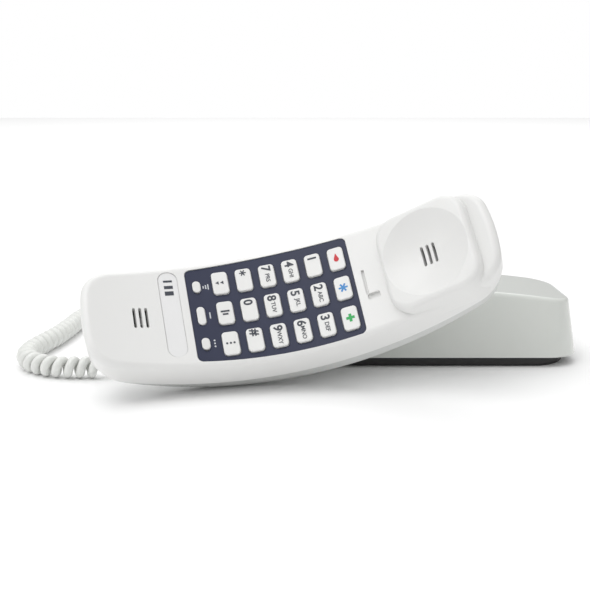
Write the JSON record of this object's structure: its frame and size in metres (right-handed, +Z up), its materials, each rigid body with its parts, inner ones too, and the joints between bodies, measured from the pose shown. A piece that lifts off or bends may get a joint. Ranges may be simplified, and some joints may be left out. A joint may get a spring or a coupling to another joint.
{
  "type": "slimline wall telephone",
  "caption": "Slimline corded telephone for table or wall: shallow arched base with handset cups, curly cord, and a bowed handset with its keypad between ear and mouth.",
  "frame": {"origin": "middle of the base's underside, on the surface that the telephone stands on", "axes": "+X along the base towards the cup for the ear end, +Y towards the base's far side, away from the handset that leans on its near side, +Z up"},
  "size_m": [0.3058, 0.232, 0.0987],
  "materials": {
    "base_plastic": "gloss",
    "plinth_black": "satin",
    "handset_front": "satin",
    "handset_rear": "satin",
    "keypad_panel": "satin",
    "key_plastic": "satin",
    "switch_plastic": "satin",
    "nameplate_plastic": "gloss",
    "plunger_plastic": "satin",
    "socket_black": "matte",
    "plug_clear": "gloss",
    "cord_jacket": "gloss",
    "board": "satin",
    "steel": "satin",
    "iron": "matte",
    "capsule_metal": "satin",
    "black_rubber": "matte",
    "membrane_rubber": "matte"
  },
  "bodies": {
    "base": {"base_circuit_board": "board", "base_cord_jack": "socket_black", "base_cord_plug": "plug_clear", "base_cover": "base_plastic", "base_plate": "plinth_black", "base_screws": "steel", "base_weight": "iron", "cord_coil": "cord_jacket", "cord_lead_base": "cord_jacket", "hook_spring": "steel", "hook_switch": "socket_black", "line_jack": "socket_black", "ringer_sounder": "socket_black", "rubber_feet": "black_rubber"},
    "handset": {"cord_lead_handset": "cord_jacket", "handset_ballast": "iron", "handset_circuit_board": "board", "handset_cord_jack": "socket_black", "handset_cord_plug": "plug_clear", "handset_front_shell": "handset_front", "handset_rear_shell": "handset_rear", "handset_screws": "steel", "keypad_backplate": "steel", "keypad_bezel": "keypad_panel", "keypad_membrane": "membrane_rubber", "microphone_boot": "black_rubber", "microphone_capsule": "capsule_metal", "nameplate": "nameplate_plastic", "receiver_capsule": "capsule_metal", "receiver_gasket": "black_rubber"},
    "key_redial": {"key_redial": "key_plastic"},
    "key_flash": {"key_flash": "key_plastic"},
    "key_store": {"key_store": "key_plastic"},
    "key_star": {"key_star": "key_plastic"},
    "key_zero": {"key_zero": "key_plastic"},
    "key_pound": {"key_pound": "key_plastic"},
    "key_seven": {"key_seven": "key_plastic"},
    "key_eight": {"key_eight": "key_plastic"},
    "key_nine": {"key_nine": "key_plastic"},
    "key_four": {"key_four": "key_plastic"},
    "key_five": {"key_five": "key_plastic"},
    "key_six": {"key_six": "key_plastic"},
    "key_one": {"key_one": "key_plastic"},
    "key_two": {"key_two": "key_plastic"},
    "key_three": {"key_three": "key_plastic"},
    "key_memory_red": {"key_memory_red": "key_plastic"},
    "key_memory_blue": {"key_memory_blue": "key_plastic"},
    "key_memory_green": {"key_memory_green": "key_plastic"},
    "mute_button": {"mute_button": "switch_plastic"},
    "ringer_switch": {"ringer_switch": "switch_plastic"},
    "dial_mode_switch": {"dial_mode_switch": "switch_plastic"},
    "hook_plunger": {"hook_plunger": "plunger_plastic"},
    "wall_hook": {"wall_hook": "plunger_plastic"}
  },
  "joints": [
    {"name": "handset_lift", "type": "slide", "parent": "base", "child": "handset", "axis": [0, 0, 1], "range_m": [0, 0.12]},
    {"name": "press_redial", "type": "slide", "parent": "handset", "child": "key_redial", "axis": [0.0748, 0.7949, -0.6021], "range_m": [0, 0.0012], "stiffness_N_per_m": 600, "springref_m": -0.0005},
    {"name": "press_flash", "type": "slide", "parent": "handset", "child": "key_flash", "axis": [0.0748, 0.7949, -0.6021], "range_m": [0, 0.0012], "stiffness_N_per_m": 600, "springref_m": -0.0005},
    {"name": "press_store", "type": "slide", "parent": "handset", "child": "key_store", "axis": [0.0748, 0.7949, -0.6021], "range_m": [0, 0.0012], "stiffness_N_per_m": 600, "springref_m": -0.0005},
    {"name": "press_star", "type": "slide", "parent": "handset", "child": "key_star", "axis": [0.0748, 0.7949, -0.6021], "range_m": [0, 0.0012], "stiffness_N_per_m": 600, "springref_m": -0.0005},
    {"name": "press_zero", "type": "slide", "parent": "handset", "child": "key_zero", "axis": [0.0748, 0.7949, -0.6021], "range_m": [0, 0.0012], "stiffness_N_per_m": 600, "springref_m": -0.0005},
    {"name": "press_pound", "type": "slide", "parent": "handset", "child": "key_pound", "axis": [0.0748, 0.7949, -0.6021], "range_m": [0, 0.0012], "stiffness_N_per_m": 600, "springref_m": -0.0005},
    {"name": "press_seven", "type": "slide", "parent": "handset", "child": "key_seven", "axis": [0.0748, 0.7949, -0.6021], "range_m": [0, 0.0012], "stiffness_N_per_m": 600, "springref_m": -0.0005},
    {"name": "press_eight", "type": "slide", "parent": "handset", "child": "key_eight", "axis": [0.0748, 0.7949, -0.6021], "range_m": [0, 0.0012], "stiffness_N_per_m": 600, "springref_m": -0.0005},
    {"name": "press_nine", "type": "slide", "parent": "handset", "child": "key_nine", "axis": [0.0748, 0.7949, -0.6021], "range_m": [0, 0.0012], "stiffness_N_per_m": 600, "springref_m": -0.0005},
    {"name": "press_four", "type": "slide", "parent": "handset", "child": "key_four", "axis": [0.0748, 0.7949, -0.6021], "range_m": [0, 0.0012], "stiffness_N_per_m": 600, "springref_m": -0.0005},
    {"name": "press_five", "type": "slide", "parent": "handset", "child": "key_five", "axis": [0.0748, 0.7949, -0.6021], "range_m": [0, 0.0012], "stiffness_N_per_m": 600, "springref_m": -0.0005},
    {"name": "press_six", "type": "slide", "parent": "handset", "child": "key_six", "axis": [0.0748, 0.7949, -0.6021], "range_m": [0, 0.0012], "stiffness_N_per_m": 600, "springref_m": -0.0005},
    {"name": "press_one", "type": "slide", "parent": "handset", "child": "key_one", "axis": [0.0748, 0.7949, -0.6021], "range_m": [0, 0.0012], "stiffness_N_per_m": 600, "springref_m": -0.0005},
    {"name": "press_two", "type": "slide", "parent": "handset", "child": "key_two", "axis": [0.0748, 0.7949, -0.6021], "range_m": [0, 0.0012], "stiffness_N_per_m": 600, "springref_m": -0.0005},
    {"name": "press_three", "type": "slide", "parent": "handset", "child": "key_three", "axis": [0.0748, 0.7949, -0.6021], "range_m": [0, 0.0012], "stiffness_N_per_m": 600, "springref_m": -0.0005},
    {"name": "press_memory_red", "type": "slide", "parent": "handset", "child": "key_memory_red", "axis": [0.0748, 0.7949, -0.6021], "range_m": [0, 0.0012], "stiffness_N_per_m": 600, "springref_m": -0.0005},
    {"name": "press_memory_blue", "type": "slide", "parent": "handset", "child": "key_memory_blue", "axis": [0.0748, 0.7949, -0.6021], "range_m": [0, 0.0012], "stiffness_N_per_m": 600, "springref_m": -0.0005},
    {"name": "press_memory_green", "type": "slide", "parent": "handset", "child": "key_memory_green", "axis": [0.0748, 0.7949, -0.6021], "range_m": [0, 0.0012], "stiffness_N_per_m": 600, "springref_m": -0.0005},
    {"name": "press_mute", "type": "slide", "parent": "handset", "child": "mute_button", "axis": [0.0748, 0.7949, -0.6021], "range_m": [0, 0.0012], "stiffness_N_per_m": 600, "springref_m": -0.0005},
    {"name": "slide_ringer_switch", "type": "slide", "parent": "handset", "child": "ringer_switch", "axis": [-0.1927, 0.6039, 0.7734], "range_m": [-0.0015, 0.0015]},
    {"name": "slide_dial_mode_switch", "type": "slide", "parent": "handset", "child": "dial_mode_switch", "axis": [-0.1927, 0.6039, 0.7734], "range_m": [-0.0015, 0.0015]},
    {"name": "hook_press", "type": "slide", "parent": "base", "child": "hook_plunger", "axis": [0, 0, -1], "range_m": [0, 0.0035], "stiffness_N_per_m": 150, "springref_m": -0.003, "deforming": ["hook_spring"]},
    {"name": "wall_hook_slide", "type": "slide", "parent": "base", "child": "wall_hook", "axis": [0, 0, 1], "range_m": [0, 0.008]}
  ]
}
